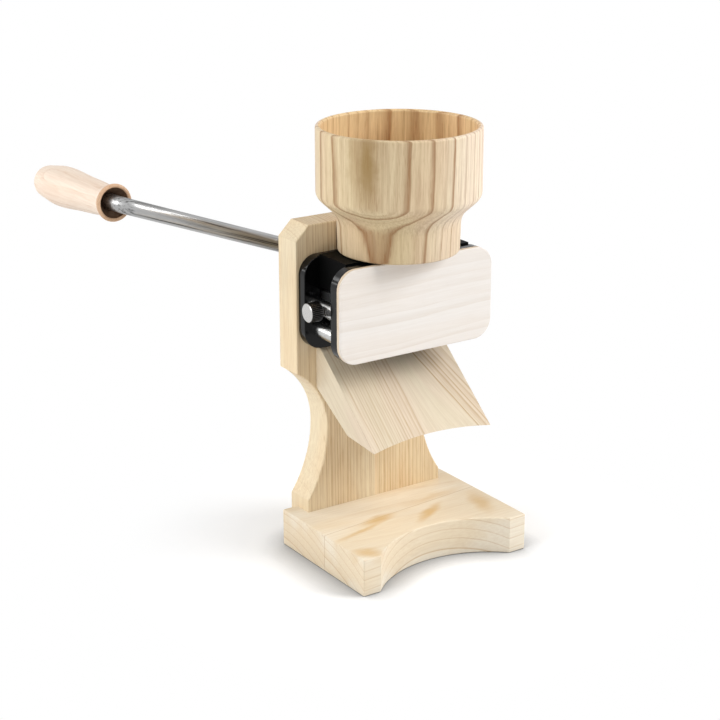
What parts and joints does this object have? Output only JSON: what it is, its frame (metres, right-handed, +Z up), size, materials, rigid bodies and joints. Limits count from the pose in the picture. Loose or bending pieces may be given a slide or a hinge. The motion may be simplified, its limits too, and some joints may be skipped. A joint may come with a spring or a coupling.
{
  "type": "hand crank grain flaker",
  "caption": "Wooden hand crank grain flaker with a turned hopper over a black roller housing, a sloping flake chute, a notched base and a bent steel crank with a wooden grip.",
  "frame": {"origin": "centre of the base board's underside, between its sides and between its front and back edges", "axes": "+X to the right as seen from the front, +Y to the back where the crank is, +Z up"},
  "size_m": [0.2245, 0.2403, 0.275],
  "materials": {
    "base_ash": "planed and oiled ash, grain along the width",
    "post_ash": "planed and oiled ash, grain upright",
    "chute_ash": "planed and oiled ash, grain along the slope",
    "hopper_ash": "turned and oiled ash, grain upright",
    "cover_maple": "fine sanded pale maple, unfinished",
    "grip_beech": "turned and sanded beech",
    "plate_black": "polished black with bright edges",
    "feed_black": "satin black",
    "bar_steel": "bright turned steel",
    "rod_steel": "drawn and polished steel",
    "roller_steel": "milled flutes in steel",
    "carriage_aluminium": "milled",
    "knob_steel": "turned face, knurled rim",
    "bush_bronze": "sintered bronze",
    "screw_zinc": "bright zinc plate",
    "screw_dark": "blackened"
  },
  "bodies": {
    "root": {"base_board": "base_ash", "post": "post_ash", "chute": "chute_ash", "wood_screws": "screw_zinc", "back_plate": "plate_black", "front_plate": "plate_black", "front_cover": "cover_maple", "feed_block": "feed_black", "screw_bar": "bar_steel", "tie_bars": "bar_steel", "plate_screws": "screw_dark", "housing_bolts": "screw_zinc", "housing_washers": "screw_zinc", "post_bush": "bush_bronze", "back_bush": "bush_bronze", "front_bush": "bush_bronze"},
    "crank": {"crank_rod": "rod_steel", "drive_roller": "roller_steel", "roller_set_screw": "screw_dark", "grip_washer": "screw_zinc", "grip_screw": "screw_zinc"},
    "grip": {"grip": "grip_beech"},
    "carriage": {"front_bearing_block": "carriage_aluminium", "back_bearing_block": "carriage_aluminium", "yoke": "carriage_aluminium"},
    "idler": {"idler_roller": "roller_steel", "idler_axle": "rod_steel"},
    "gap_screw": {"gap_spindle": "rod_steel", "gap_knob": "knob_steel"},
    "hopper": {"hopper": "hopper_ash"}
  },
  "joints": [
    {"name": "crank_turn", "type": "hinge", "parent": "root", "child": "crank", "pos_m": [0, 0.0864, 0.1744], "axis": [0, 1, 0], "continuous": true},
    {"name": "grip_spin", "type": "hinge", "parent": "crank", "child": "grip", "pos_m": [-0.14903, 0.0864, 0.22982], "axis": [0, 0.9987, -0.0506], "continuous": true},
    {"name": "gap_turn", "type": "hinge", "parent": "carriage", "child": "gap_screw", "pos_m": [-0.056, 0.0114, 0.1661], "axis": [-1, 0, 0], "range_deg": [0, 540]},
    {"name": "carriage_slide", "type": "slide", "parent": "root", "child": "carriage", "axis": [-1, 0, 0], "range_m": [0, 0.0015]},
    {"name": "idler_spin", "type": "hinge", "parent": "carriage", "child": "idler", "pos_m": [-0.02611, 0.0114, 0.1661], "axis": [0, 1, 0], "continuous": true},
    {"name": "hopper_lift", "type": "slide", "parent": "root", "child": "hopper", "axis": [0, 0, 1], "range_m": [0, 0.03]}
  ],
  "couplings": [
    {"joint": "idler_spin", "follows": "crank_turn", "ratio": -1},
    {"joint": "gap_turn", "follows": "carriage_slide", "rad_per_m": 6283.2}
  ]
}
